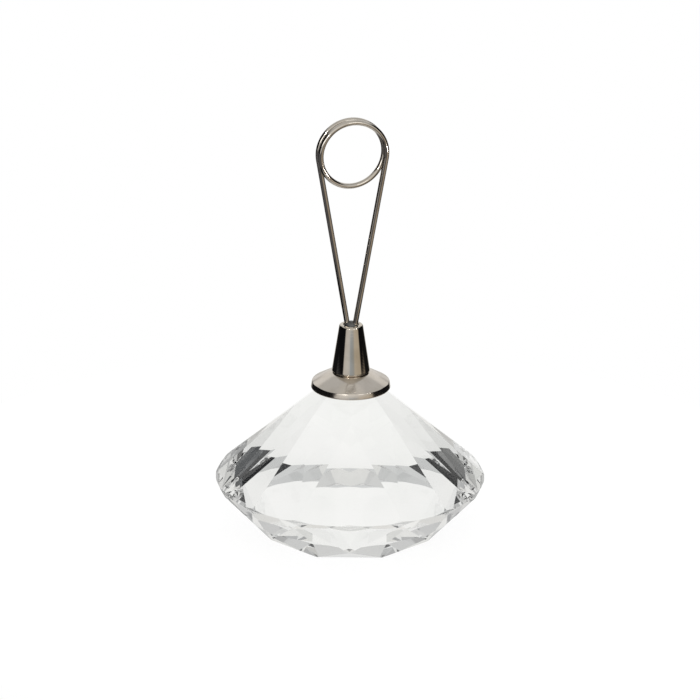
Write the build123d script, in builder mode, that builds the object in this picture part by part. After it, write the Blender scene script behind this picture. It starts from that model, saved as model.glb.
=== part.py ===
"""Place card holder: a cut glass base, a chrome cap and a spring wire clip.

Sizes are in millimetres. The origin is the centre of the table facet that the glass stands on and +Z is up.
The viewer is at -Y. The loop is turned a little from facing them, with its right side to the back.
"""

from build123d import *
from math import atan2, cos, dist, hypot, pi, radians, sin, sqrt, tan
import os

# Crystal base: a round brilliant cut, upside down, with its point ground off
facet_fold = 8
girdle_diameter = 40.0
girdle_thickness = 0.8  # where two facets meet on it; the middle of a facet cuts through it
table_width = 23.2  # across the flats of the table
crown_height = 7.9
pavilion_angle = 41.3  # degrees between a main facet and the table
culet_width = 8.8  # across the flats of the ground-off point
star_length = 0.56  # of the way from the table's edge to the girdle
lower_half_length = 0.77  # of the way from the girdle to the culet's corner

# Adhesive between the culet and the collar
film_thickness = 0.15
film_margin = 0.25  # stays this far inside the flats of the culet

# Collar: a domed round plate with a nearly upright rim
collar_diameter = 11.8
collar_height = 2.45
rim_round = 0.2  # at the foot of the rim
rim_band = 0.6  # straight part of the rim
rim_draft = 11.0  # degrees that the rim leans in
shoulder_round = 0.25
shoulder_sweep = 60.0  # degrees above the level, where the dome takes over
seat_margin = 0.15  # flat left round the foot of the ferrule

# Ferrule: a tapered tube with a solid spigot below
ferrule_height = 7.4
ferrule_base_diameter = 5.74
ferrule_wall = 0.67  # at the mouth
ferrule_foot_round = 0.35
ferrule_rim_round = 0.3
mouth_chamfer = 0.12
spigot_diameter = 3.2
press_clearance = 0.02

# Wire clip: two tails, two legs and a loop of one and a half turns
wire_diameter = 0.8
turn_gap = 0.48  # room for the card between the turns
tail_gap = 0.42  # between the two tails in the ferrule
loop_diameter = 9.84  # to the middle of the wire
loop_rise = 26.4  # from the mouth of the ferrule to the middle of the loop
tail_length = 5.0  # held in the ferrule
tail_turn = 37.0  # degrees that the pair of tails is turned about the axis, against the loop
clip_turn = 18.0  # degrees that the whole clip is turned about the axis
bend_radius = 2.0
bend_depth = 0.2  # where the bend starts, below the mouth

# Solder round the tails
bore_clearance = 0.06
solder_below = 0.25  # under the ends of the tails
solder_crown = 0.5  # how far the solder stands up between the legs, above the mouth

# Heights and radii that follow from the sizes above
half_step = radians(180 / facet_fold)
girdle_radius = girdle_diameter / 2
girdle_top = crown_height + girdle_thickness
table_flat = table_width / 2
table_corner = table_flat / cos(half_step)
culet_flat = culet_width / 2
culet_corner = culet_flat / cos(half_step)
pavilion_slope = tan(radians(pavilion_angle))
culet_top = girdle_top + (girdle_radius - culet_flat) * pavilion_slope
collar_bottom = culet_top + film_thickness
seat_top = collar_bottom + collar_height
mouth_top = seat_top + ferrule_height

wire_radius = wire_diameter / 2
turn_pitch = wire_diameter + turn_gap
tail_offset = (wire_diameter + tail_gap) / 2
bore_radius = tail_offset + wire_radius + bore_clearance
tail_foot = mouth_top - tail_length
bore_floor = tail_foot - solder_below
loop_centre = mouth_top + loop_rise

os.makedirs("parts", exist_ok=True)


# Crystal base
# A star tip lies on the planes of the two kites beside it, and a lower half's tip on those of two main facets.
star_tip = table_flat + star_length * (girdle_radius - table_flat)
kite_slope = crown_height / (girdle_radius - table_corner)
star_height = (star_tip * cos(half_step) - table_corner) * kite_slope
star_slope = star_height / (star_tip - table_flat)
half_tip = girdle_radius - lower_half_length * (girdle_radius - culet_corner)
half_height = girdle_top + (girdle_radius - half_tip * cos(half_step)) * pavilion_slope

# The two rings of narrow facets at the girdle lie on its corners, and their middles are nearer the axis.
quarter_step = half_step / 2
girdle_flat = girdle_radius * cos(quarter_step)
upper_slope = (half_height - girdle_top) / (girdle_flat - half_tip * cos(quarter_step))
lower_slope = (crown_height - star_height) / (girdle_flat - star_tip * cos(quarter_step))


def facet_planes(count, first_angle, reach, height, slope, way):
    """Planes of a ring of facets, through a reach and height on the middle of each; way is 1 above the girdle."""
    angles = [first_angle + 2 * pi * index / count for index in range(count)]
    return [
        Plane(
            origin=(reach * cos(angle), reach * sin(angle), height),
            z_dir=(slope * cos(angle), slope * sin(angle), way),
        )
        for angle in angles
    ]


cuts = facet_planes(facet_fold, half_step, girdle_radius, girdle_top, pavilion_slope, 1)
cuts += facet_planes(2 * facet_fold, quarter_step, girdle_flat, girdle_top, upper_slope, 1)
cuts += facet_planes(facet_fold, half_step, girdle_radius, crown_height, kite_slope, -1)
cuts += facet_planes(2 * facet_fold, quarter_step, girdle_flat, crown_height, lower_slope, -1)
cuts += facet_planes(facet_fold, 0, table_flat, 0, star_slope, -1)

with BuildPart() as crystal_base:
    Cylinder(girdle_radius, culet_top, align=(Align.CENTER, Align.CENTER, Align.MIN))
    for cut in cuts:
        split(bisect_by=cut, keep=Keep.BOTTOM)
crystal_base.part.label = "crystal_base"
export_step(crystal_base.part, "parts/crystal_base.step")

# Adhesive film
with BuildPart() as adhesive_film:
    with BuildSketch(Plane.XY.offset(culet_top)):
        Circle(culet_flat - film_margin)
    extrude(amount=film_thickness)
adhesive_film.part.label = "adhesive_film"
export_step(adhesive_film.part, "parts/adhesive_film.step")

# Collar
collar_bore = spigot_diameter / 2 + press_clearance
seat_radius = ferrule_base_diameter / 2 + seat_margin
rim_lean = radians(rim_draft)
rim_foot = (collar_diameter / 2 - rim_round, collar_bottom + rim_round)
shoulder = (
    rim_foot[0] - rim_band * sin(rim_lean) + (rim_round - shoulder_round) * cos(rim_lean),
    rim_foot[1] + rim_band * cos(rim_lean) + (rim_round - shoulder_round) * sin(rim_lean),
)

with BuildPart() as collar:
    with BuildSketch(Plane.XZ):
        with BuildLine():
            underside = Line((collar_bore, collar_bottom), (rim_foot[0], collar_bottom))
            foot_edge = CenterArc(rim_foot, rim_round, -90, 90 + rim_draft)
            top_edge = CenterArc(shoulder, shoulder_round, rim_draft, shoulder_sweep - rim_draft)
            Line(foot_edge @ 1, top_edge @ 0)
            dome = TangentArc(top_edge @ 1, (seat_radius, seat_top), tangent=top_edge % 1)
            Polyline(dome @ 1, (collar_bore, seat_top), underside @ 0)
        make_face()
    revolve(axis=Axis.Z)
collar.part.label = "collar"
export_step(collar.part, "parts/collar.step")

# Ferrule
foot_radius = ferrule_base_diameter / 2
mouth_radius = bore_radius + ferrule_wall
spigot_radius = spigot_diameter / 2

with BuildPart() as ferrule:
    with BuildSketch(Plane.XZ) as ferrule_profile:
        with BuildLine():
            Polyline(
                (0, collar_bottom),
                (spigot_radius, collar_bottom),
                (spigot_radius, seat_top),
                (foot_radius, seat_top),
                (mouth_radius, mouth_top),
                (bore_radius, mouth_top),
                (bore_radius, bore_floor),
                (0, bore_floor),
                close=True,
            )
        make_face()
        foot_corner = ferrule_profile.vertices().sort_by(Axis.X)[-1]
        mouth_corners = ferrule_profile.vertices().group_by(Axis.Z)[-1].sort_by(Axis.X)
        fillet(foot_corner, ferrule_foot_round)
        fillet(mouth_corners[-1], ferrule_rim_round)
        chamfer(mouth_corners[0], mouth_chamfer)
    revolve(axis=Axis.Z)
ferrule.part.label = "ferrule"
export_step(ferrule.part, "parts/ferrule.step")


# Wire clip
# The front half is described in the upright plane through its tail and the side of the loop, and the back half is
# the same, turned half round the axis. Each half turn of the loop is a half circle in an upright plane of its own.
loop_radius = loop_diameter / 2
turn_radius = hypot(loop_radius, turn_pitch / 4)
bend_start = mouth_top - bend_depth
tail_x = tail_offset * cos(radians(tail_turn))
tail_y = -tail_offset * sin(radians(tail_turn))
side_x = loop_radius
side_y = -0.75 * turn_pitch
leg_reach = hypot(side_x - tail_x, side_y - tail_y)
leg_rise = loop_centre - bend_start
both_radii = turn_radius + bend_radius
leg_length = sqrt((both_radii - leg_reach) ** 2 + leg_rise**2 - both_radii**2)
leg_lean = atan2(leg_rise, both_radii - leg_reach) - atan2(leg_length, both_radii)


def leg_point(outward, height):
    """A point of the front leg's plane, at a distance out from the tail towards the side of the loop."""
    share = outward / leg_reach
    return (tail_x + share * (side_x - tail_x), tail_y + share * (side_y - tail_y), height)


def bend_point(angle):
    """A point of the bend above the tail, after turning by an angle in radians."""
    return leg_point(bend_radius * (1 - cos(angle)), bend_start + bend_radius * sin(angle))


def lead_point(angle):
    """A point of the arc that leads into the loop, at an angle in radians below its middle."""
    return leg_point(leg_reach - turn_radius * (1 - cos(angle)), loop_centre - turn_radius * sin(angle))


def half_round(point):
    """The same point of the other half of the clip."""
    return (-point[0], -point[1], point[2])


front_tail = leg_point(0, tail_foot)
front_side = lead_point(0)
left_side = (-loop_radius, -turn_pitch / 4, loop_centre)
right_side = half_round(left_side)
back_side = half_round(front_side)

with BuildLine() as clip_path:
    Line(front_tail, bend_point(0))
    ThreePointArc(bend_point(0), bend_point(leg_lean / 2), bend_point(leg_lean))
    Line(bend_point(leg_lean), lead_point(leg_lean))
    ThreePointArc(lead_point(leg_lean), lead_point(leg_lean / 2), front_side)
    ThreePointArc(front_side, (0, -turn_pitch / 2, loop_centre + turn_radius), left_side)
    ThreePointArc(left_side, (0, 0, loop_centre - turn_radius), right_side)
    ThreePointArc(right_side, (0, turn_pitch / 2, loop_centre + turn_radius), back_side)
    ThreePointArc(back_side, half_round(lead_point(leg_lean / 2)), half_round(lead_point(leg_lean)))
    Line(half_round(lead_point(leg_lean)), half_round(bend_point(leg_lean)))
    ThreePointArc(
        half_round(bend_point(leg_lean)),
        half_round(bend_point(leg_lean / 2)),
        half_round(bend_point(0)),
    )
    Line(half_round(bend_point(0)), half_round(front_tail))

with BuildPart() as wire_clip:
    with BuildSketch(Plane(origin=front_tail, z_dir=(0, 0, 1))):
        Circle(wire_radius)
    sweep(path=clip_path.wire())
turned_clip = wire_clip.part.rotate(Axis.Z, clip_turn)
turned_clip.label = "wire_clip"
export_step(turned_clip, "parts/wire_clip.step")

# Solder fill
crown_top = mouth_top + solder_crown
crown_edge = (bore_radius, mouth_top - mouth_chamfer)

with BuildPart() as solder_fill:
    with BuildSketch(Plane.XZ):
        with BuildLine():
            Polyline((0, crown_top), (0, bore_floor), (bore_radius, bore_floor), crown_edge)
            TangentArc((0, crown_top), crown_edge, tangent=(1, 0))
        make_face()
    revolve(axis=Axis.Z)
    add(turned_clip, mode=Mode.SUBTRACT)
solder_fill.part.label = "solder_fill"
export_step(solder_fill.part, "parts/solder_fill.step")

# Measures of the wire: its least gap to itself, and its volume against its section times its length
sample_step = 0.25
self_reach = 3.0  # points nearer than this along the wire belong to the same stretch
clip_wire = clip_path.wire()
sample_count = int(clip_wire.length / sample_step)
samples = [tuple(clip_wire.position_at(index / sample_count)) for index in range(sample_count + 1)]
apart = int(self_reach / sample_step)
least_spacing = min(
    dist(first, second) for index, first in enumerate(samples) for second in samples[index + apart :]
)
print(f"wire length {clip_wire.length:.2f} mm, leg lean {leg_lean * 180 / pi:.2f} degrees")
print(f"least gap of the wire to itself {least_spacing - wire_diameter:.3f} mm")
print(f"wire volume {wire_clip.part.volume:.4f}, section times length {pi * wire_radius**2 * clip_wire.length:.4f}")
print(f"facets {len(crystal_base.faces())}, culet at {culet_top:.2f}, top at {wire_clip.part.bounding_box().max.Z:.2f}")
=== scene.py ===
"""Dresses the place card holder: a cut crystal base, a bright chrome cap and a looped spring wire clip.

Sizes are in millimetres and angles in degrees, and repeat those of the part's source. Meshes are made in
millimetres and brought to metres when a piece is finished, so that every object sits at the origin with its
place in its mesh.
"""

import logging
from collections.abc import Iterable, Sequence
from dataclasses import dataclass, field
from enum import Enum
from math import asin, atan2, cos, degrees, hypot, pi, radians, sin, sqrt, tan

import bmesh
import bpy
from mathutils import Matrix, Vector


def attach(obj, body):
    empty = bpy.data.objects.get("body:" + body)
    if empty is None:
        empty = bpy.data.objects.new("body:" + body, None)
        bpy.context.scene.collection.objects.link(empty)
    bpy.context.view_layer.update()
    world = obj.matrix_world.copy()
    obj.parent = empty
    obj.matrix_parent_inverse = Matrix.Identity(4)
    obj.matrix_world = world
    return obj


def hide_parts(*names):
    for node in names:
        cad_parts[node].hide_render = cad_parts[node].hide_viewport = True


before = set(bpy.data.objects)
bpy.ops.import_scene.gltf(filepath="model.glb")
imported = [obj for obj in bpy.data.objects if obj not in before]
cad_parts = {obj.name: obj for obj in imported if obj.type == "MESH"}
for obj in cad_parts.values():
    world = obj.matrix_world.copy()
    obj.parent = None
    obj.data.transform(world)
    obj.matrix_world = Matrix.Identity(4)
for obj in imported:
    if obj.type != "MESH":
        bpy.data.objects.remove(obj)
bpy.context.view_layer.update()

Pair = tuple[float, float]  # a finish's band: where in a pattern's values its change starts and ends
Stops = Iterable[tuple[float, str]]  # places and hex colours
Inputs = dict[int | str, object] | Sequence[object]  # by socket, or in the sockets' order

LOG = logging.getLogger("place_card_holder")
METRES = 0.001  # one millimetre
MERGE = 0.002  # vertices nearer than this are one
CUT_TOLERANCE = 1e-5  # vertices nearer to a cutting plane than this lie on it
FLAT_ANGLE = 0.02  # degrees between faces, up to which they are one facet
SHARP_ANGLE = 32.0  # degrees between faces, from which their edge stays sharp
UPRIGHT = 0.05  # the most that an upright face's normal rises or falls
WAVE_BANDS = 20 / (2 * pi)  # bands that the wave texture makes in one unit of its scale
WHITE = "FFFFFF"
PHOTO_SIDE = 700  # pixels


class Slot(Enum):
    """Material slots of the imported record."""

    CRYSTAL = "crystal_glass"
    ADHESIVE = "clear_adhesive"
    CHROME = "chrome_plate"
    SOLDER = "soft_solder"
    WIRE = "spring_wire"


class Sight(Enum):
    """What shows a belt of the surroundings."""

    ALL = "all"
    GLASS = "glass"


class Shading(Enum):
    """How the faces of a finished piece are shaded."""

    FLAT = "flat"
    SMOOTH = "smooth"


def linear(hex_colour: str) -> tuple[float, float, float, float]:
    """Turns an sRGB hex colour into a linear one.

    Args:
        hex_colour: Six hex digits.

    Returns:
        Red, green, blue and an alpha of 1.
    """
    shares = [int(hex_colour[place : place + 2], 16) / 255 for place in (0, 2, 4)]
    red, green, blue = (s / 12.92 if s <= 0.04045 else ((s + 0.055) / 1.055) ** 2.4 for s in shares)
    return red, green, blue, 1.0


def feed(tree: bpy.types.NodeTree, node: bpy.types.Node, inputs: Inputs) -> None:
    """Fills a node's sockets.

    Args:
        tree: The tree that the node is in.
        node: The node.
        inputs: Values for the sockets, or outputs that are linked to them.
    """
    pairs = inputs.items() if isinstance(inputs, dict) else enumerate(inputs)
    for key, value in pairs:
        if isinstance(value, bpy.types.NodeSocket):
            tree.links.new(value, node.inputs[key])
        else:
            node.inputs[key].default_value = value


def add_node(
    tree: bpy.types.NodeTree,
    kind: str,
    inputs: Inputs = (),
    stops: Stops = (),
    **settings: object,
) -> bpy.types.Node:
    """Adds one node with its settings and links.

    Args:
        tree: The tree that gets the node.
        kind: The node's Blender type.
        inputs: What fills the node's sockets.
        stops: Its colours, where the node is a colour ramp.
        **settings: The node's own properties.

    Returns:
        The new node.
    """
    made = tree.nodes.new(kind)
    for name, value in settings.items():
        setattr(made, name, value)
    feed(tree, made, inputs)
    colours = list(stops)
    if colours:
        elements = made.color_ramp.elements
        while len(elements) < len(colours):
            elements.new(0.5)
        for element, (place, hex_colour) in zip(elements, colours):
            element.position = place
            element.color = linear(hex_colour)
    return made


def new_material(name: str) -> tuple[bpy.types.Material, bpy.types.NodeTree, bpy.types.Node]:
    """Starts a material with one Principled shader.

    Args:
        name: The material's name.

    Returns:
        The material, its node tree and its Principled node.
    """
    material = bpy.data.materials.new(name)
    material.use_nodes = True
    tree = material.node_tree
    return material, tree, tree.nodes["Principled BSDF"]


# Finishes


@dataclass(frozen=True)
class CutCrystal:
    """Optical crystal glass, cut on laps and polished: clear, a breath of grey-green, faint polish marks."""

    tints: tuple[str, str] = ("F7F8F6", "FDFDFC")
    ior: float = 1.517
    cloud_mm: float = 9.0  # size of the melt's slight unevenness
    cloud_band: Pair = (0.35, 0.6)
    haze_mm: float = 1.4  # size of the polish marks, drawn coarse enough to show
    haze_band: Pair = (0.6, 0.8)
    roughness: Pair = (0.0, 0.006)
    girdle_roughness: float = 0.22  # the girdle is ground and only half polished

    def material(self) -> bpy.types.Material:
        """Builds the glass.

        Returns:
            The material.
        """
        material, tree, shader = new_material("cut_crystal_glass")
        place = add_node(tree, "ShaderNodeTexCoord").outputs["Object"]
        cloud = add_node(tree, "ShaderNodeTexNoise", {"Vector": place, "Scale": 1 / (self.cloud_mm * METRES)})
        colour = add_node(tree, "ShaderNodeValToRGB", [cloud.outputs[0]], zip(self.cloud_band, self.tints))
        haze = add_node(
            tree, "ShaderNodeTexNoise", {"Vector": place, "Scale": 1 / (self.haze_mm * METRES), "Detail": 4.0}
        )
        polish = add_node(tree, "ShaderNodeMapRange", [haze.outputs[0], *self.haze_band, *self.roughness])
        girdle = add_node(tree, "ShaderNodeAttribute", attribute_name="ground")
        roughness = add_node(
            tree,
            "ShaderNodeMath",
            [girdle.outputs["Fac"], self.girdle_roughness, polish.outputs[0]],
            operation="MULTIPLY_ADD",
        )
        surface = {"Base Color": colour.outputs[0], "Roughness": roughness.outputs[0]}
        feed(tree, shader, surface | {"Transmission Weight": 1.0, "IOR": self.ior})
        return material


@dataclass(frozen=True)
class CuredAdhesive:
    """Clear glass adhesive, pressed thin and cured: glossy and a little hazy, with tiny trapped bubbles."""

    tints: tuple[str, str] = ("E6E8DC", "F4F5EE")
    ior: float = 1.49
    bubble_mm: float = 0.35
    bubble_band: Pair = (0.1, 0.3)
    roughness: Pair = (0.25, 0.05)

    def material(self) -> bpy.types.Material:
        """Builds the adhesive.

        Returns:
            The material.
        """
        material, tree, shader = new_material("cured_clear_adhesive")
        place = add_node(tree, "ShaderNodeTexCoord").outputs["Object"]
        bubbles = add_node(
            tree, "ShaderNodeTexVoronoi", {"Vector": place, "Scale": 1 / (self.bubble_mm * METRES)}
        )
        depth = bubbles.outputs["Distance"]
        colour = add_node(tree, "ShaderNodeValToRGB", [depth], zip(self.bubble_band, self.tints))
        haze = add_node(tree, "ShaderNodeMapRange", [depth, *self.bubble_band, *self.roughness])
        surface = {"Base Color": colour.outputs[0], "Roughness": haze.outputs[0]}
        feed(tree, shader, surface | {"Transmission Weight": 1.0, "IOR": self.ior})
        return material


@dataclass(frozen=True)
class TurnedChrome:
    """Bright chrome over nickel on turned brass: a warm mirror with faint lathe rings and dull specks."""

    name: str = "bright_chrome_on_turned_brass"
    tints: tuple[str, str] = ("BFB6A8", "CDC5B9")
    mottle_mm: float = 2.5
    mottle_band: Pair = (0.3, 0.62)
    speck_mm: float = 0.5
    speck_band: Pair = (0.55, 0.75)
    roughness: Pair = (0.045, 0.09)
    ring_mm: float = 0.22  # feed of the lathe, drawn coarse enough to show
    ring_strength: float = 0.012
    ring_height: float = 0.1

    def material(self) -> bpy.types.Material:
        """Builds the plating.

        Returns:
            The material.
        """
        material, tree, shader = new_material(self.name)
        place = add_node(tree, "ShaderNodeTexCoord").outputs["Object"]
        mottle = add_node(
            tree,
            "ShaderNodeTexNoise",
            {"Vector": place, "Scale": 1 / (self.mottle_mm * METRES), "Detail": 3.0},
        )
        colour = add_node(tree, "ShaderNodeValToRGB", [mottle.outputs[0]], zip(self.mottle_band, self.tints))
        specks = add_node(
            tree,
            "ShaderNodeTexNoise",
            {"Vector": place, "Scale": 1 / (self.speck_mm * METRES), "Detail": 2.0},
        )
        dull = add_node(tree, "ShaderNodeMapRange", [specks.outputs[0], *self.speck_band, *self.roughness])
        ring_scale = 1 / (WAVE_BANDS * self.ring_mm * METRES)
        rings = add_node(
            tree,
            "ShaderNodeTexWave",
            {"Vector": place, "Scale": ring_scale, "Distortion": 0.6, "Detail": 1.0},
            wave_type="BANDS",
            bands_direction="Z",
        )
        relief = self.ring_height * METRES
        bump = add_node(
            tree,
            "ShaderNodeBump",
            {"Strength": self.ring_strength, "Distance": relief, "Height": rings.outputs["Fac"]},
        )
        surface = {"Base Color": colour.outputs[0], "Roughness": dull.outputs[0], "Normal": bump.outputs[0]}
        feed(tree, shader, surface | {"Metallic": 1.0})
        return material


@dataclass(frozen=True)
class DrawnWire:
    """Chrome plate on drawn spring wire: a mirror that fine lines along it soften, duller in patches."""

    tints: tuple[str, str] = ("B8B0A5", "CBC4BA")
    patch_mm: float = 3.0
    patch_band: Pair = (0.32, 0.55)
    wire_mm: float = 0.8
    line_mm: float = 0.2793  # spacing of the drawing lines, drawn coarse enough to show
    line_run_mm: float = 4.0  # how far a line goes on before it changes
    line_band: Pair = (0.35, 0.7)
    roughness: Pair = (0.07, 0.12)
    line_strength: float = 0.002
    line_height: float = 0.02

    def material(self) -> bpy.types.Material:
        """Builds the wire's plating, whose lines follow the wire by its UV map.

        Returns:
            The material.
        """
        material, tree, shader = new_material("chrome_on_drawn_spring_wire")
        coordinates = add_node(tree, "ShaderNodeTexCoord")
        spread = (pi * self.wire_mm / self.line_mm, 1 / self.line_run_mm, 1.0)
        stretched = add_node(
            tree, "ShaderNodeMapping", {"Vector": coordinates.outputs["UV"], "Scale": spread}
        )
        lines = add_node(
            tree, "ShaderNodeTexNoise", {"Vector": stretched.outputs[0], "Scale": 1.0, "Detail": 3.0}
        )
        patches = add_node(
            tree,
            "ShaderNodeTexNoise",
            {"Vector": coordinates.outputs["Object"], "Scale": 1 / (self.patch_mm * METRES), "Detail": 3.0},
        )
        colour = add_node(tree, "ShaderNodeValToRGB", [patches.outputs[0]], zip(self.patch_band, self.tints))
        dull = add_node(tree, "ShaderNodeMapRange", [lines.outputs[0], *self.line_band, *self.roughness])
        relief = self.line_height * METRES
        bump = add_node(
            tree,
            "ShaderNodeBump",
            {"Strength": self.line_strength, "Distance": relief, "Height": lines.outputs[0]},
        )
        surface = {"Base Color": colour.outputs[0], "Roughness": dull.outputs[0], "Normal": bump.outputs[0]}
        feed(tree, shader, surface | {"Metallic": 1.0})
        return material


@dataclass(frozen=True)
class SoftSolder:
    """Soft solder that froze round the wires: dull grey metal with a grainy skin."""

    tints: tuple[str, str] = ("545453", "7C7C7B")
    tint_band: Pair = (0.35, 0.65)
    grain_mm: float = 0.25
    grain_band: Pair = (0.3, 0.7)
    roughness: Pair = (0.35, 0.55)
    grain_strength: float = 0.4
    grain_height: float = 0.05

    def material(self) -> bpy.types.Material:
        """Builds the solder.

        Returns:
            The material.
        """
        material, tree, shader = new_material("soft_solder")
        place = add_node(tree, "ShaderNodeTexCoord").outputs["Object"]
        grain = add_node(
            tree,
            "ShaderNodeTexNoise",
            {"Vector": place, "Scale": 1 / (self.grain_mm * METRES), "Detail": 4.0},
        )
        colour = add_node(tree, "ShaderNodeValToRGB", [grain.outputs[0]], zip(self.tint_band, self.tints))
        dull = add_node(tree, "ShaderNodeMapRange", [grain.outputs[0], *self.grain_band, *self.roughness])
        relief = self.grain_height * METRES
        bump = add_node(
            tree,
            "ShaderNodeBump",
            {"Strength": self.grain_strength, "Distance": relief, "Height": grain.outputs[0]},
        )
        surface = {"Base Color": colour.outputs[0], "Roughness": dull.outputs[0], "Normal": bump.outputs[0]}
        feed(tree, shader, surface | {"Metallic": 1.0})
        return material


# Making pieces


def add_object(name: str, data: bpy.types.ID) -> bpy.types.Object:
    """Puts an object in the scene.

    Args:
        name: The object's name.
        data: Its mesh, light or camera.

    Returns:
        The object.
    """
    made = bpy.data.objects.new(name, data)
    bpy.context.scene.collection.objects.link(made)
    return made


def add_mesh(name: str, mesh: bmesh.types.BMesh, finish: bpy.types.Material) -> bpy.types.Object:
    """Turns a mesh in millimetres into an object in metres.

    Args:
        name: The object's name.
        mesh: Its mesh, which is freed.
        finish: Its material.

    Returns:
        The object.
    """
    bmesh.ops.scale(mesh, vec=(METRES,) * 3, verts=mesh.verts)
    data = bpy.data.meshes.new(name)
    mesh.to_mesh(data)
    mesh.free()
    data.materials.append(finish)
    return add_object(name, data)


def finish_piece(
    name: str,
    mesh: bmesh.types.BMesh,
    finish: bpy.types.Material,
    shading: Shading = Shading.SMOOTH,
) -> bpy.types.Object:
    """Turns a mesh into a dressed piece that rides on the body and stands for the node of its name.

    Args:
        name: The CAD node that the piece replaces. The piece is called after it.
        mesh: The piece's mesh, in millimetres. It is freed.
        finish: The piece's material.
        shading: Flat for facets, or smooth with sharp edges.

    Returns:
        The piece.
    """
    piece = add_mesh(f"{name}_dressed", mesh, finish)
    if shading is Shading.SMOOTH:
        piece.data.shade_smooth()
        piece.data.set_sharp_from_angle(angle=radians(SHARP_ANGLE))
    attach(piece, "root")
    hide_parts(name)
    return piece


def only(items: Iterable[object], kind: type) -> list:
    """Keeps the items of one kind."""
    return [item for item in items if isinstance(item, kind)]


class Profile:
    """A half section for the lathe, drawn from point to point in the XZ plane and turned about Z."""

    ARC_STEP = 6.0

    def __init__(self, radius: float, height: float) -> None:
        """Starts the section at a radius and height."""
        self.mesh = bmesh.new()
        self.first = self.last = self.mesh.verts.new((radius, 0.0, height))

    def line(self, radius: float, height: float) -> "Profile":
        """Draws a straight line to a point.

        Args:
            radius: The point's distance from the axis.
            height: Its height.

        Returns:
            The profile.
        """
        made = bmesh.ops.extrude_vert_indiv(self.mesh, verts=[self.last])
        self.last = made["verts"][0]
        self.last.co = (radius, 0.0, height)
        return self

    def arc(self, radius: float, height: float, angle: float) -> "Profile":
        """Draws an arc about a centre, from where the pen is.

        Args:
            radius: The centre's distance from the axis.
            height: The centre's height.
            angle: Degrees, anticlockwise with the axis on the left.

        Returns:
            The profile.
        """
        made = bmesh.ops.spin(
            self.mesh,
            geom=[self.last],
            cent=(radius, 0.0, height),
            axis=(0.0, -1.0, 0.0),
            angle=radians(angle),
            steps=max(2, round(abs(angle) / self.ARC_STEP)),
            use_duplicate=False,
        )
        self.last = only(made["geom_last"], bmesh.types.BMVert)[0]
        return self

    def turned(self, steps: int, closed: bool) -> bmesh.types.BMesh:
        """Turns the section about the axis.

        Args:
            steps: Faces round the axis.
            closed: Whether the end of the section is joined to its start.

        Returns:
            The turned mesh, with its seam and poles closed and its faces outwards.
        """
        if closed:
            self.mesh.edges.new((self.last, self.first))
        bmesh.ops.spin(
            self.mesh,
            geom=self.mesh.verts[:] + self.mesh.edges[:],
            cent=(0.0, 0.0, 0.0),
            axis=(0.0, 0.0, 1.0),
            angle=2 * pi,
            steps=steps,
            use_merge=True,
        )
        bmesh.ops.remove_doubles(self.mesh, verts=self.mesh.verts, dist=MERGE)
        bmesh.ops.recalc_face_normals(self.mesh, faces=self.mesh.faces)
        return self.mesh


# Sub-assemblies


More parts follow.
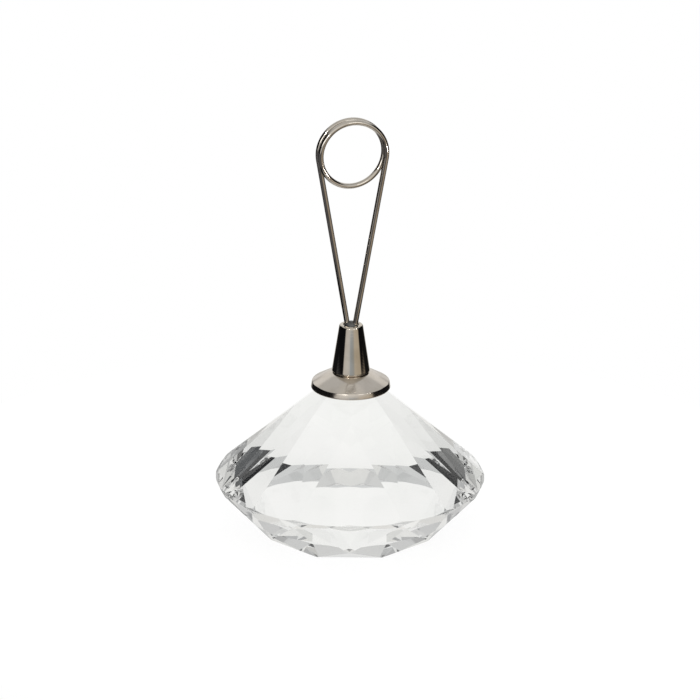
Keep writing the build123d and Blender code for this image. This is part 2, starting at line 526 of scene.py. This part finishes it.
@dataclass
class CrystalBase:
    """The cut glass: a round blank that rings of facets are cut from, standing on its table."""

    facet_fold: int = 8
    girdle_diameter: float = 40.0
    girdle_thickness: float = 0.8
    table_width: float = 23.2
    crown_height: float = 7.9
    pavilion_angle: float = 41.3
    culet_width: float = 8.8
    star_length: float = 0.56
    lower_half_length: float = 0.77
    blank_steps: int = 256
    blank_ease: float = 0.0005  # keeps the blank inside the part's box
    finish: CutCrystal = field(default_factory=CutCrystal)

    def __post_init__(self) -> None:
        """Works out the heights and slopes that follow from the sizes, as the part's source does."""
        fold = self.facet_fold
        half = pi / fold
        quarter = half / 2
        self.radius = self.girdle_diameter / 2
        table_flat, culet_flat = self.table_width / 2, self.culet_width / 2
        table_corner, culet_corner = table_flat / cos(half), culet_flat / cos(half)
        girdle_top = self.crown_height + self.girdle_thickness
        main_slope = tan(radians(self.pavilion_angle))
        self.top = girdle_top + (self.radius - culet_flat) * main_slope
        star_tip = table_flat + self.star_length * (self.radius - table_flat)
        kite_slope = self.crown_height / (self.radius - table_corner)
        star_height = (star_tip * cos(half) - table_corner) * kite_slope
        half_tip = self.radius - self.lower_half_length * (self.radius - culet_corner)
        half_height = girdle_top + (self.radius - half_tip * cos(half)) * main_slope
        girdle_flat = self.radius * cos(quarter)
        upper_slope = (half_height - girdle_top) / (girdle_flat - half_tip * cos(quarter))
        lower_slope = (self.crown_height - star_height) / (girdle_flat - star_tip * cos(quarter))
        star_slope = star_height / (star_tip - table_flat)
        # Each ring of facets: count, first angle, reach and height on a facet's middle, slope,
        # and 1 above the girdle or -1 below it
        self.facet_rings = [
            (fold, half, self.radius, girdle_top, main_slope, 1),
            (2 * fold, quarter, girdle_flat, girdle_top, upper_slope, 1),
            (fold, half, self.radius, self.crown_height, kite_slope, -1),
            (2 * fold, quarter, girdle_flat, self.crown_height, lower_slope, -1),
            (fold, 0.0, table_flat, 0.0, star_slope, -1),
        ]

    def build(self) -> bmesh.types.BMesh:
        """Cuts the facets from a round blank.

        Returns:
            The glass, in millimetres.
        """
        glass = bmesh.new()
        bmesh.ops.create_cone(
            glass,
            cap_ends=True,
            segments=self.blank_steps,
            radius1=self.radius - self.blank_ease,
            radius2=self.radius - self.blank_ease,
            depth=self.top,
            matrix=Matrix.Translation((0.0, 0.0, self.top / 2)),
        )
        for count, first, reach, height, slope, way in self.facet_rings:
            for index in range(count):
                angle = first + 2 * pi * index / count
                cut = bmesh.ops.bisect_plane(
                    glass,
                    geom=glass.verts[:] + glass.edges[:] + glass.faces[:],
                    dist=CUT_TOLERANCE,
                    plane_co=(reach * cos(angle), reach * sin(angle), height),
                    plane_no=(slope * cos(angle), slope * sin(angle), way),
                    clear_outer=True,
                )
                bmesh.ops.holes_fill(glass, edges=only(cut["geom_cut"], bmesh.types.BMEdge), sides=0)
        bmesh.ops.remove_doubles(glass, verts=glass.verts, dist=MERGE)
        bmesh.ops.dissolve_limit(
            glass,
            angle_limit=radians(FLAT_ANGLE),
            verts=glass.verts,
            edges=glass.edges,
            delimit={"NORMAL"},
        )
        bmesh.ops.recalc_face_normals(glass, faces=glass.faces)
        # The girdle is round and ground, the facets are flat and polished.
        ground = glass.faces.layers.float.new("ground")
        for face in glass.faces:
            face.smooth = abs(face.normal.z) < UPRIGHT
            face[ground] = float(face.smooth)
        return glass

    def dress(self) -> list[bpy.types.Object]:
        """Builds and dresses the glass, as a list of one piece."""
        crystal = self.finish.material()
        return [finish_piece("crystal_base", self.build(), crystal, Shading.FLAT)]


@dataclass
class Cap:
    """The adhesive film, the collar and the ferrule on top of the glass."""

    glass_top: float
    film_thickness: float = 0.15
    film_diameter: float = 8.3
    film_gap: float = 0.004  # keeps the film's faces off those of the glass and the collar
    collar_diameter: float = 11.8
    collar_height: float = 2.45
    rim_round: float = 0.2
    rim_band: float = 0.6
    rim_draft: float = 11.0
    shoulder_round: float = 0.25
    shoulder_sweep: float = 60.0
    seat_margin: float = 0.15
    ferrule_height: float = 7.4
    ferrule_base_diameter: float = 5.74
    mouth_diameter: float = 3.48
    foot_round: float = 0.35
    mouth_round: float = 0.3
    mouth_chamfer: float = 0.12
    bore_diameter: float = 2.14
    bore_depth: float = 5.25
    spigot_diameter: float = 3.2
    press_clearance: float = 0.02
    steps: int = 160
    plating: TurnedChrome = field(default_factory=TurnedChrome)
    # The collar is satin: paler and softer than the ferrule's mirror, with fainter rings
    collar_plating: TurnedChrome = TurnedChrome(
        name="satin_chrome_on_spun_brass",
        tints=("C6BDB1", "D2CAC0"),
        roughness=(0.15, 0.2),
        ring_strength=0.006,
    )
    adhesive: CuredAdhesive = field(default_factory=CuredAdhesive)

    def __post_init__(self) -> None:
        """Works out the heights."""
        self.collar_bottom = self.glass_top + self.film_thickness
        self.seat_top = self.collar_bottom + self.collar_height
        self.mouth_top = self.seat_top + self.ferrule_height

    def film(self) -> bmesh.types.BMesh:
        """Turns the film, with the rounded edge of a pressed drop.

        Returns:
            The film, in millimetres.
        """
        bottom, top = self.glass_top + self.film_gap, self.collar_bottom - self.film_gap
        bulge = (top - bottom) / 2
        edge = self.film_diameter / 2 - bulge
        section = Profile(0.0, bottom).line(edge, bottom).arc(edge, bottom + bulge, 180.0).line(0.0, top)
        return section.turned(self.steps, closed=False)

    def collar(self) -> bmesh.types.BMesh:
        """Turns the collar: a flat underside, a rim that leans in and a low dome up to the ferrule's seat.

        Returns:
            The collar, in millimetres.
        """
        bore = self.spigot_diameter / 2 + self.press_clearance
        seat = self.ferrule_base_diameter / 2 + self.seat_margin
        lean, sweep = radians(self.rim_draft), radians(self.shoulder_sweep)
        rim_out, dome_out = Vector((cos(lean), sin(lean))), Vector((cos(sweep), sin(sweep)))
        foot = Vector((self.collar_diameter / 2 - self.rim_round, self.collar_bottom + self.rim_round))
        shoulder = foot + rim_out.orthogonal() * self.rim_band
        shoulder += rim_out * (self.rim_round - self.shoulder_round)
        band_top = shoulder + rim_out * self.shoulder_round
        start = shoulder + dome_out * self.shoulder_round
        chord = start - Vector((seat, self.seat_top))
        dome_radius = chord.length_squared / (2 * dome_out.dot(chord))
        dome = start - dome_radius * dome_out
        dome_angle = degrees(2 * asin(chord.length / (2 * dome_radius)))
        section = Profile(bore, self.collar_bottom).line(foot.x, self.collar_bottom)
        section.arc(foot.x, foot.y, 90.0 + self.rim_draft).line(band_top.x, band_top.y)
        section.arc(shoulder.x, shoulder.y, self.shoulder_sweep - self.rim_draft)
        section.arc(dome.x, dome.y, dome_angle)
        return section.line(bore, self.seat_top).turned(self.steps, closed=True)

    def ferrule(self) -> bmesh.types.BMesh:
        """Turns the ferrule: a tapered tube with a rounded foot and mouth, and a spigot below.

        Returns:
            The ferrule, in millimetres.
        """
        foot, mouth = self.ferrule_base_diameter / 2, self.mouth_diameter / 2
        bore, spigot = self.bore_diameter / 2, self.spigot_diameter / 2
        taper = degrees(atan2(foot - mouth, self.ferrule_height))
        wall_out = Vector((cos(radians(taper)), sin(radians(taper)))) * self.mouth_round
        foot_turn, mouth_turn = 90.0 + taper, 90.0 - taper
        foot_start = foot - self.foot_round * tan(radians(foot_turn / 2))
        mouth_end = mouth - self.mouth_round * tan(radians(mouth_turn / 2))
        mouth_centre = self.mouth_top - self.mouth_round
        floor = self.mouth_top - self.bore_depth
        section = Profile(0.0, self.collar_bottom).line(spigot, self.collar_bottom)
        section.line(spigot, self.seat_top).line(foot_start, self.seat_top)
        section.arc(foot_start, self.seat_top + self.foot_round, foot_turn)
        section.line(mouth_end + wall_out.x, mouth_centre + wall_out.y)
        section.arc(mouth_end, mouth_centre, mouth_turn)
        section.line(bore + self.mouth_chamfer, self.mouth_top)
        section.line(bore, self.mouth_top - self.mouth_chamfer)
        return section.line(bore, floor).line(0.0, floor).turned(self.steps, closed=False)

    def dress(self) -> list[bpy.types.Object]:
        """Builds and dresses the three pieces.

        Returns:
            The film, the collar and the ferrule.
        """
        return [
            finish_piece("adhesive_film", self.film(), self.adhesive.material()),
            finish_piece("collar", self.collar(), self.collar_plating.material()),
            finish_piece("ferrule", self.ferrule(), self.plating.material()),
        ]


@dataclass
class WireClip:
    """The spring wire, from tail to tail, and the solder that holds it in the ferrule."""

    mouth_top: float
    bore_diameter: float
    mouth_chamfer: float
    wire_diameter: float = 0.8
    wire_ease: float = 0.001  # keeps the wire inside the part's box
    turn_gap: float = 0.48
    tail_gap: float = 0.42
    loop_diameter: float = 9.84
    loop_rise: float = 26.4
    tail_length: float = 5.0
    tail_turn: float = 37.0
    clip_turn: float = 18.0  # of the whole clip about the axis
    bend_radius: float = 2.0
    bend_depth: float = 0.2
    solder_below: float = 0.25
    solder_crown: float = 0.5
    solder_steps: int = 48
    sides: int = 24
    leg_steps: int = 4
    step_angle: float = 4.0
    steel: DrawnWire = field(default_factory=DrawnWire)
    solder: SoftSolder = field(default_factory=SoftSolder)

    def __post_init__(self) -> None:
        """Works out the wire's path, as the part's source does."""
        self.pitch = self.wire_diameter + self.turn_gap
        offset = (self.wire_diameter + self.tail_gap) / 2
        self.loop_radius = self.loop_diameter / 2
        self.turn_radius = hypot(self.loop_radius, self.pitch / 4)
        self.loop_centre = self.mouth_top + self.loop_rise
        self.bend_start = self.mouth_top - self.bend_depth
        self.tail_foot = self.mouth_top - self.tail_length
        turn = radians(self.tail_turn)
        self.tail = Vector((offset * cos(turn), -offset * sin(turn), 0.0))
        # The loop is three half turns that each go back half a pitch, so it starts 3/4 of one in front.
        self.side = Vector((self.loop_radius, -0.75 * self.pitch, 0.0))
        across = self.side - self.tail
        self.outwards = across.normalized()
        rise = self.loop_centre - self.bend_start
        radii = self.turn_radius + self.bend_radius
        self.leg_length = sqrt((radii - across.length) ** 2 + rise**2 - radii**2)
        self.lean = atan2(rise, radii - across.length) - atan2(self.leg_length, radii)

    def swing(self, centre: Vector, axis: Vector, angle: float) -> list[Matrix]:
        """Splits a turn about an axis into steps.

        Args:
            centre: A point of the axis.
            axis: The axis.
            angle: Radians.

        Returns:
            The matrix of one step, as often as it is needed.
        """
        count = max(2, round(degrees(abs(angle)) / self.step_angle))
        turn = Matrix.Rotation(angle / count, 4, axis)
        return [Matrix.Translation(centre) @ turn @ Matrix.Translation(-centre)] * count

    def moves(self) -> list[Matrix]:
        """Lists the moves that carry the wire's section from the front tail to the back tail.

        Returns:
            One matrix for each step.
        """
        up = Vector((0.0, 0.0, 1.0))
        into_leg = up.cross(self.outwards)
        bend = self.tail + self.outwards * self.bend_radius + up * self.bend_start
        lead = self.side - self.outwards * self.turn_radius + up * self.loop_centre
        slant = self.outwards * sin(self.lean) + up * cos(self.lean)
        out = up.cross(Vector((-self.loop_radius, self.pitch / 4, 0.0))).normalized()
        home = up.cross(Vector((-self.loop_radius, -self.pitch / 4, 0.0))).normalized()
        shares = (-0.5, 0.0, 0.5)
        first, second, third = (Vector((0.0, share * self.pitch, self.loop_centre)) for share in shares)
        climb = [Matrix.Translation(up * (self.bend_start - self.tail_foot))]
        climb += self.swing(bend, into_leg, self.lean)
        climb += [Matrix.Translation(slant * (self.leg_length / self.leg_steps))] * self.leg_steps
        climb += self.swing(lead, into_leg, -self.lean)
        half_turn = Matrix.Rotation(pi, 4, up)
        down = [half_turn @ move.inverted() @ half_turn for move in reversed(climb)]
        loop = self.swing(first, out, pi) + self.swing(second, home, pi) + self.swing(third, out, pi)
        return climb + loop + down

    def wire(self) -> bmesh.types.BMesh:
        """Draws the wire: its round section is extruded step by step, with a UV map in wire lengths.

        Returns:
            The wire, in millimetres.
        """
        wire = bmesh.new()
        along = wire.verts.layers.float.new("along")
        around = wire.verts.layers.float.new("around")
        start = Matrix.Translation(self.tail + Vector((0.0, 0.0, self.tail_foot)))
        made = bmesh.ops.create_circle(
            wire,
            cap_ends=True,
            segments=self.sides,
            radius=self.wire_diameter / 2 - self.wire_ease,
            matrix=start,
        )
        for index, vertex in enumerate(made["verts"]):
            vertex[around] = index / self.sides
        ring = wire.edges[:]
        middle = start.translation.copy()
        travelled = 0.0
        for move in self.moves():
            grown = bmesh.ops.extrude_edge_only(wire, edges=ring)["geom"]
            verts = only(grown, bmesh.types.BMVert)
            bmesh.ops.transform(wire, matrix=move, verts=verts)
            travelled += (move @ middle - middle).length
            middle = move @ middle
            for vertex in verts:
                vertex[along] = travelled
            fresh = set(verts)
            ring = [edge for edge in only(grown, bmesh.types.BMEdge) if fresh.issuperset(edge.verts)]
        bmesh.ops.edgeloop_fill(wire, edges=ring)
        turn = Matrix.Rotation(radians(self.clip_turn), 3, "Z")
        bmesh.ops.rotate(wire, cent=(0.0, 0.0, 0.0), matrix=turn, verts=wire.verts)
        bmesh.ops.recalc_face_normals(wire, faces=wire.faces)
        self.map_lengths(wire, along, around)
        return wire

    @staticmethod
    def map_lengths(
        wire: bmesh.types.BMesh, along: bmesh.types.BMLayerItem, around: bmesh.types.BMLayerItem
    ) -> None:
        """Writes the UV map: U goes once round the wire and V counts millimetres along it.

        Args:
            wire: The wire's mesh.
            along: The vertices' layer of lengths.
            around: The vertices' layer of shares of a turn.
        """
        layer = wire.loops.layers.uv.new("wire_map")
        for face in wire.faces:
            shares = [loop.vert[around] for loop in face.loops]
            # A wall face over the seam has the start of the turn at its end, as a full turn.
            seam = max(shares) - min(shares) > 0.5 and len(shares) == 4
            for loop, share in zip(face.loops, shares):
                loop[layer].uv = (share + 1.0 if seam and share < 0.5 else share, loop.vert[along])

    def fill(self) -> bmesh.types.BMesh:
        """Turns the solder, which fills the bore and stands up between the legs as a bead.

        Returns:
            The solder, in millimetres.
        """
        wall = self.bore_diameter / 2
        floor = self.tail_foot - self.solder_below
        edge = self.mouth_top - self.mouth_chamfer
        crown = self.mouth_top + self.solder_crown
        spread = (wall**2 + (crown - edge) ** 2) / (2 * (crown - edge))
        section = Profile(0.0, floor).line(wall, floor).line(wall, edge)
        section.arc(0.0, crown - spread, degrees(asin(wall / spread)))
        return section.turned(self.solder_steps, closed=False)

    def dress(self) -> list[bpy.types.Object]:
        """Builds and dresses the wire and the solder.

        Returns:
            The two pieces.
        """
        return [
            finish_piece("wire_clip", self.wire(), self.steel.material()),
            finish_piece("solder_fill", self.fill(), self.solder.material()),
        ]


# Studio


@dataclass(frozen=True)
class Belt:
    """One belt of the surroundings: colours by bearing, and where it takes over from the belt below.

    Bearings are in degrees from the front, to the viewer's right, and elevations in degrees.
    """

    colours: Stops
    fade: Pair = (-90.0, -90.0)
    sight: Sight = Sight.ALL


# Shared by several belts: the sweep up to the left flag, the room between the flags, and the wall
SWEEP_LEFT = ((-180, "F9F9F8"), (-150, "F5F5F4"), (-141, "ECECEC"), (-134, "24262A"))
ROOM = ((-46, "08090B"), (-38, "E4E4E2"), (0, "FAF9F7"), (56, "E4E4E2"), (64, "08090B"))
WALL = ((-180, "D2D3D3"), (-80, "C8C9C9"), (0, "ECEAE6"), (80, "C8C9C9"), (180, "D2D3D3"))


@dataclass(frozen=True)
class SoftBox:
    """A soft lamp that shines on the holder, in millimetres and degrees."""

    name: str
    bearing: float
    elevation: float
    width: float
    height: float
    brightness: float  # 1 is white
    distance: float = 600.0
    aim_height: float = 30.0

    def hang(self) -> None:
        """Hangs the lamp, turned towards the holder."""
        lamp = bpy.data.lights.new(self.name, "AREA")
        lamp.shape = "RECTANGLE"
        lamp.size, lamp.size_y = self.width * METRES, self.height * METRES
        lamp.energy = self.brightness * pi * lamp.size * lamp.size_y
        box = add_object(self.name, lamp)
        # Mirrors show the lamps, and the clear glass does not.
        box.visible_camera = box.visible_transmission = False
        turn, rise = radians(self.bearing), radians(self.elevation)
        way = Vector((sin(turn) * cos(rise), -cos(turn) * cos(rise), sin(rise)))
        spot = Vector((0.0, 0.0, self.aim_height)) + way * self.distance
        facing = way.to_track_quat("Z", "Y").to_matrix().to_4x4()
        box.matrix_world = Matrix.Translation(spot * METRES) @ facing


@dataclass
class Studio:
    """A white card on a white sweep, with dark flags at the sides that draw the edges of glass and metal."""

    card_radius: float = 75.0
    card_steps: int = 128
    card_drop: float = 0.05  # below the glass
    card_colour: str = "F4F4F4"
    card_roughness: float = 0.9
    strip: Pair = (26.0, 37.0)  # half width of the painted lit strip of card, and where its painted fall-off ends
    strip_aside: float = 4.0  # the strip lies a little to the right
    strip_left: float = 0.02  # share of its light that is left beyond the fall-off
    # Painted dark of the card beyond the lit strip, as mirrors and glass see it
    painted_dark: str = "101010"
    painted_shades: Stops = (
        (-75.0, "DCDCDB"),
        (-45.0, "D2D2D1"),
        (-12.0, "CACACA"),
        (5.0, "F2F2F1"),
        (26.0, "FBFBFA"),
    )  # the card's painted shade in mirrors and glass, by the distance behind the glass's middle
    painted_side_shade: float = 0.24  # how much painted shade darkens the card beside the glass, in mirrors and glass
    side_band: Pair = (0.5, 0.9)  # sines of the bearings between which it darkens
    shadow_share: float = 0.2  # how much of the card's own shading the camera sees
    card_white: float = 1.14  # brings the open card to white with that share
    camera_distance: float = 700.0
    camera_elevation: float = 20.5
    camera_roll: float = 0.44
    aim_height: float = 28.33
    focal_pixels: float = 4739.0
    axis_pixel: float = 350.97
    sensor: float = 36.0
    bounces: int = 48
    belts: tuple[Belt, ...] = (
        # Table beyond the card: light behind, dark at the sides, grey and brown in front
        Belt(
            (
                (-180, "E6E4E0"), (-160, "E0DEDA"), (-148, "1C1C1E"), (-100, "1C1C1E"), (-88, "606064"),
                (14, "5C5C5E"), (30, "B4A898"), (92, "A0968A"), (100, "1C1C1C"), (148, "1C1C1C"),
                (160, "E0DEDA"), (180, "E6E4E0"),
            ),
        ),
        # Foot of the room: pale sweep behind, black flags, and window, wall and wood in front
        Belt(
            (
                (-180, "D6D5D2"), (-150, "D4D4D2"), (-140, "141416"), (-50, "141416"), (-44, "DEDCDA"),
                (-22, "E2E2E2"), (-8, "D6D8DA"), (-3, "B4BEC8"), (18, "B2B6B8"), (26, "D0C8BA"),
                (62, "CCC2B2"), (69, "141416"), (140, "141416"), (150, "D8D4CE"), (180, "D6D5D2"),
            ),
            (-12.0, -8.5),
        ),
        # White sweep behind, black flags at the sides, pale room in front
        Belt(
            (
                (-180, "F9F9F8"), (-160, "ECECEC"), (-153, "24262A"), (-146, "08090B"), *ROOM,
                (146, "08090B"), (153, "24262A"), (160, "ECECEC"), (180, "F9F9F8"),
            ),
            (-1.0, 1.5),
        ),
        # Upper part of the flags, which are narrower there
        Belt(
            (
                *SWEEP_LEFT, (-126, "08090B"), *ROOM,
                (130, "08090B"), (138, "24262A"), (145, "ECECEC"), (152, "F5F5F4"), (180, "F9F9F8"),
            ),
            (15.0, 19.0),
        ),
        # Pale gap under the flags, as the facets show it, with the foot of the right flag
        Belt(
            (
                (-180, "F9F9F8"), (-141, "F0F0F0"), (-126, "B8B9BA"), (-58, "A6A6A6"), (-43, "A2A2A2"),
                (-36, "E4E4E2"), (0, "FAF9F7"), (36, "E4E4E2"), (43, "A2A2A2"), (58, "A6A6A6"),
                (99, "B1B2B3"), (102, "484A4C"), (110, "484A4C"), (113, "B5B6B7"), (126, "B8B9BA"),
                (141, "F0F0F0"), (180, "F9F9F8"),
            ),
            (-10.0, -7.0),
            Sight.GLASS,
        ),
        # Flags as the facets show them, in two tones, with the room and a dark window edge at the left
        Belt(
            (
                *SWEEP_LEFT, (-126, "1A1B1D"), (-91, "1A1B1D"), (-86, "7E7E7E"), (-82, "7E7E7E"),
                (-74, "C0C0C0"), (-56, "CCCCCB"), (-53, "4A4A4A"), (-42, "4A4A4A"), (-38, "E4E4E2"),
                (0, "FAF9F7"), (70, "C3C3C3"), (73, "5C5E60"), (86, "5C5E60"), (91, "28292B"),
                (126, "28292B"), (134, "24262A"), (141, "ECECEC"), (150, "F5F5F4"), (180, "F9F9F8"),
            ),
            (12.0, 15.0),
            Sight.GLASS,
        ),
        # Grey wall above the sweep and the flags
        Belt(WALL, (34.0, 40.0)),
        # Tops of the flags as the facets show them, straight at the sides, and the wall over them
        Belt(
            (
                (-180, "D2D3D3"), (-98, "CACBCB"), (-94, "2C2D30"), (-79, "2C2D30"), (-75, "CBCCCB"),
                (0, "ECEAE6"), (75, "CBCCCB"), (79, "2C2D30"), (94, "2C2D30"), (98, "CACBCB"),
                (180, "D2D3D3"),
            ),
            (34.0, 38.0),
            Sight.GLASS,
        ),
        Belt(WALL, (41.0, 45.0), Sight.GLASS),
        # Pale ceiling
        Belt(((-180, "DCDCDA"), (180, "DCDCDA")), (66.0, 74.0)),
    )
    lamps: tuple[SoftBox, ...] = (
        SoftBox("window_light", -25.0, 11.0, 340.0, 120.0, 1.6),
        SoftBox("room_light", 30.0, 22.0, 160.0, 160.0, 1.5),
        # The sparks on the loop
        SoftBox("high_glint", -16.0, 17.5, 50.0, 30.0, 24.0, distance=420.0, aim_height=59.0),
        SoftBox("low_glint", 56.0, -13.0, 4.0, 2.5, 40.0, distance=37.0, aim_height=59.0),
    )

    def floor(self) -> None:
        """Lays the round white card."""
        disc = bmesh.new()
        bmesh.ops.create_circle(disc, cap_ends=True, segments=self.card_steps, radius=self.card_radius)
        bmesh.ops.translate(disc, vec=(0.0, 0.0, -self.card_drop), verts=disc.verts)
        card = add_mesh("white_card", disc, self.card_material())

    def painted_card_shades(self) -> Stops:
        """Lists the card's ramp of painted shade from front to back: a painted shadow of the glass, grey at
        its front foot.
        """
        return [((place / self.card_radius + 1) / 2, shade) for place, shade in self.painted_shades]

    def card_material(self) -> bpy.types.Material:
        """Builds matt card: white to the camera, and to mirrors and glass a painted lit strip from front to
        back, with painted shade.

        Returns:
            The material.
        """
        material, tree, shader = new_material("white_card")
        feed(tree, shader, {"Base Color": linear(self.card_colour), "Roughness": self.card_roughness})
        place = add_node(tree, "ShaderNodeTexCoord").outputs["Object"]
        parts = add_node(tree, "ShaderNodeSeparateXYZ", [place])
        offset = add_node(
            tree, "ShaderNodeMath", [parts.outputs[0], self.strip_aside * METRES], operation="SUBTRACT"
        )
        aside = add_node(tree, "ShaderNodeMath", [offset.outputs[0]], operation="ABSOLUTE")
        # Painted light: the lit strip of card from front to back, which fades to the painted dark beyond it
        strip = add_node(
            tree,
            "ShaderNodeMapRange",
            [aside.outputs[0], self.strip[0] * METRES, self.strip[1] * METRES, 1.0, self.strip_left],
            interpolation_type="SMOOTHSTEP",
        )
        # Painted shadow: the card's shade by its distance behind the glass's middle
        reach = self.card_radius * METRES
        depth = add_node(tree, "ShaderNodeMapRange", [parts.outputs[1], -reach, reach, 0.0, 1.0])
        foot = add_node(tree, "ShaderNodeValToRGB", [depth.outputs[0]], stops=self.painted_card_shades())
        lit = add_node(
            tree,
            "ShaderNodeMix",
            {0: strip.outputs[0], 6: linear(self.painted_dark), 7: foot.outputs[0]},
            data_type="RGBA",
        )
        # Painted shade: the card is darker to the left and right of the glass, as if the dark flags took
        # light from it.
        level = add_node(tree, "ShaderNodeVectorMath", [place], operation="NORMALIZE")
        sideways = add_node(tree, "ShaderNodeSeparateXYZ", [level.outputs[0]])
        slant = add_node(tree, "ShaderNodeMath", [sideways.outputs[0]], operation="ABSOLUTE")
        shade = add_node(
            tree,
            "ShaderNodeMapRange",
            [slant.outputs[0], *self.side_band, 1.0, 1 - self.painted_side_shade],
            interpolation_type="SMOOTHSTEP",
        )
        # The painted light and shade glow from the card, and only mirrors and glass see them
        around = add_node(tree, "ShaderNodeEmission", [lit.outputs[2], shade.outputs[0]])
        path = add_node(tree, "ShaderNodeLightPath").outputs
        mirrored = add_node(
            tree,
            "ShaderNodeMath",
            [path["Is Glossy Ray"], path["Is Transmission Ray"]],
            operation="MAXIMUM",
        )
        seen = add_node(
            tree, "ShaderNodeMixShader", [mirrored.outputs[0], shader.outputs[0], around.outputs[0]]
        )
        direct = add_node(
            tree, "ShaderNodeMath", [path["Is Camera Ray"], 1 - self.shadow_share], operation="MULTIPLY"
        )
        white = add_node(tree, "ShaderNodeEmission", [linear(WHITE), self.card_white])
        mixed = add_node(
            tree, "ShaderNodeMixShader", [direct.outputs[0], seen.outputs[0], white.outputs[0]]
        )
        feed(tree, tree.nodes["Material Output"], {"Surface": mixed.outputs[0]})
        return material

    def surround(self) -> None:
        """Lights the set all round: the world blends the belts by elevation, and the camera sees white."""
        world = bpy.data.worlds.new("studio")
        world.use_nodes = True
        bpy.context.scene.world = world
        tree = world.node_tree
        tree.nodes.clear()
        way = add_node(tree, "ShaderNodeTexCoord").outputs["Generated"]
        parts = add_node(tree, "ShaderNodeSeparateXYZ", [way]).outputs
        front = add_node(tree, "ShaderNodeMath", [parts[1], -1.0], operation="MULTIPLY")
        turn = add_node(tree, "ShaderNodeMath", [parts[0], front.outputs[0]], operation="ARCTAN2")
        bearing = add_node(tree, "ShaderNodeMapRange", [turn.outputs[0], -pi, pi, 0.0, 1.0])
        rise = add_node(tree, "ShaderNodeMath", [parts[2]], operation="ARCSINE")
        path = add_node(tree, "ShaderNodeLightPath").outputs
        colour = None
        for belt in self.belts:
            stops = [((degree + 180) / 360, hex_colour) for degree, hex_colour in belt.colours]
            ramp = add_node(tree, "ShaderNodeValToRGB", [bearing.outputs[0]], stops=stops)
            if colour is None:
                colour = ramp.outputs[0]
                continue
            share = add_node(
                tree,
                "ShaderNodeMapRange",
                [rise.outputs[0], radians(belt.fade[0]), radians(belt.fade[1]), 0.0, 1.0],
                interpolation_type="SMOOTHSTEP",
            )
            if belt.sight is Sight.GLASS:
                share = add_node(
                    tree,
                    "ShaderNodeMath",
                    [share.outputs[0], path["Is Transmission Ray"]],
                    operation="MULTIPLY",
                )
            blend = add_node(
                tree,
                "ShaderNodeMix",
                {0: share.outputs[0], 6: colour, 7: ramp.outputs[0]},
                data_type="RGBA",
            )
            colour = blend.outputs[2]
        shown = add_node(
            tree,
            "ShaderNodeMix",
            {0: path["Is Camera Ray"], 6: colour, 7: linear(WHITE)},
            data_type="RGBA",
        )
        glow = add_node(tree, "ShaderNodeBackground", [shown.outputs[2], 1.0])
        add_node(tree, "ShaderNodeOutputWorld", {"Surface": glow.outputs[0]})

    def camera(self) -> None:
        """Sets the camera at the photograph's angle, with its slight roll."""
        lens = bpy.data.cameras.new("photo_view")
        lens.sensor_width = self.sensor
        lens.lens = self.sensor * self.focal_pixels / PHOTO_SIDE
        lens.shift_x = (PHOTO_SIDE / 2 - self.axis_pixel) / PHOTO_SIDE
        lens.clip_start, lens.clip_end = 0.01, 10.0  # metres
        view = add_object("photo_view", lens)
        elevation = radians(self.camera_elevation)
        back = Vector((0.0, -cos(elevation), sin(elevation)))
        spot = (Vector((0.0, 0.0, self.aim_height)) + back * self.camera_distance) * METRES
        tilt = Matrix.Rotation(pi / 2 - elevation, 4, "X")
        roll = Matrix.Rotation(radians(self.camera_roll), 4, "Z")
        view.matrix_world = Matrix.Translation(spot) @ (tilt @ roll)
        bpy.context.scene.camera = view

    def build(self) -> None:
        """Sets up the card, the light and the camera."""
        self.floor()
        self.surround()
        for lamp in self.lamps:
            lamp.hang()
        self.camera()
        scene = bpy.context.scene
        scene.view_settings.view_transform = "Standard"
        # Light crosses the glass many times before it leaves.
        scene.cycles.max_bounces = self.bounces
        scene.cycles.transmission_bounces = self.bounces
        scene.cycles.glossy_bounces = self.bounces // 2


def report(pieces: Iterable[bpy.types.Object]) -> None:
    """Logs each finished piece with its faces."""
    for piece in pieces:
        LOG.info("%s: %d faces", piece.name, len(piece.data.polygons))


def main() -> None:
    logging.basicConfig(level=logging.INFO, format="%(message)s")
    base = CrystalBase()
    cap = Cap(glass_top=base.top)
    clip = WireClip(cap.mouth_top, cap.bore_diameter, cap.mouth_chamfer)
    for assembly in (base, cap, clip):
        report(assembly.dress())
    Studio().build()


if __name__ == "__main__":
    main()
